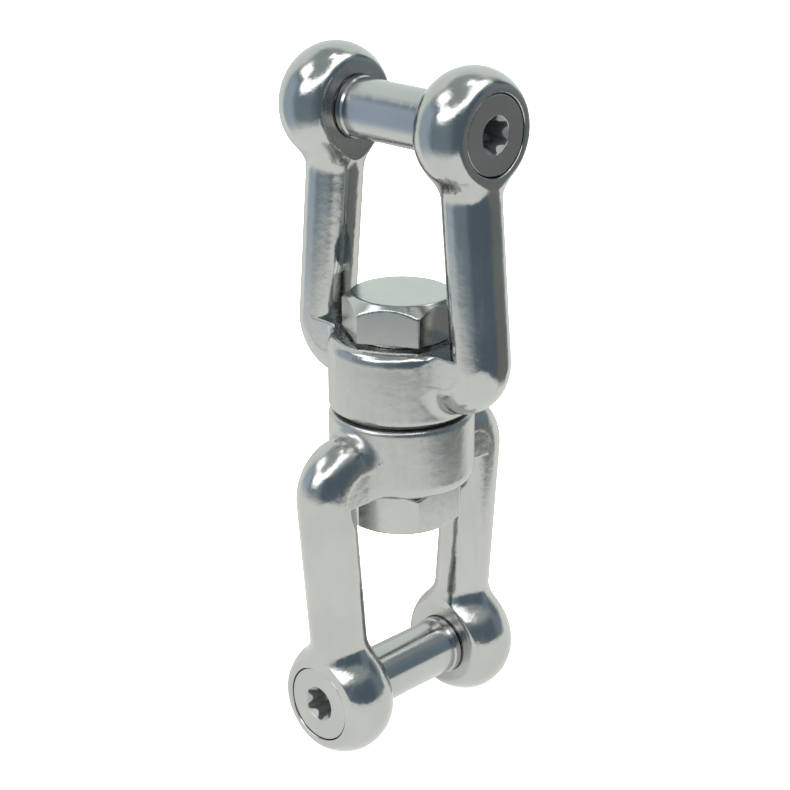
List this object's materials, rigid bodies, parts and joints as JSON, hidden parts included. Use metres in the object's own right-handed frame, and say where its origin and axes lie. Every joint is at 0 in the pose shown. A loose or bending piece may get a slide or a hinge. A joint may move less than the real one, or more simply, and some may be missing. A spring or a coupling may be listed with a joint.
{
  "type": "fork-and-fork swivel",
  "caption": "Polished stainless double-clevis swivel: forks a quarter turn apart spin on a hexagon bolt, each closed by a flush six-lobe clevis pin.",
  "frame": {"origin": "on the swivel bolt's axis, midway between the two collars, which is the centre of the whole part's box", "axes": "+Z along the bolt's axis towards the upper fork, whose pin lies along X with its head on +X; the lower fork's pin lies along Y with its head on -Y"},
  "size_m": [0.0458, 0.0458, 0.1192],
  "materials": {
    "jaw_steel": "cast stainless steel, bright polished",
    "bolt_steel": "machined stainless steel, lightly polished",
    "washer_steel": "plain stainless steel, dull",
    "pin_steel": "turned stainless steel, polished"
  },
  "bodies": {
    "lower_fork": {"lower_jaw": "jaw_steel"},
    "upper_fork": {"upper_jaw": "jaw_steel"},
    "swivel_pin": {"swivel_bolt": "bolt_steel", "swivel_nut": "bolt_steel", "thrust_washer": "washer_steel"},
    "upper_clevis_pin": {"upper_pin": "pin_steel"},
    "lower_clevis_pin": {"lower_pin": "pin_steel"}
  },
  "joints": [
    {"name": "swivel", "type": "hinge", "parent": "lower_fork", "child": "upper_fork", "pos_m": [0, 0, 0], "axis": [0, 0, 1], "continuous": true},
    {"name": "bolt_turn", "type": "hinge", "parent": "lower_fork", "child": "swivel_pin", "pos_m": [0, 0, 0], "axis": [0, 0, 1], "continuous": true},
    {"name": "upper_pin_withdraw", "type": "slide", "parent": "upper_fork", "child": "upper_clevis_pin", "axis": [1, 0, 0], "range_m": [0, 0.045]},
    {"name": "lower_pin_withdraw", "type": "slide", "parent": "lower_fork", "child": "lower_clevis_pin", "axis": [0, -1, 0], "range_m": [0, 0.045]}
  ]
}
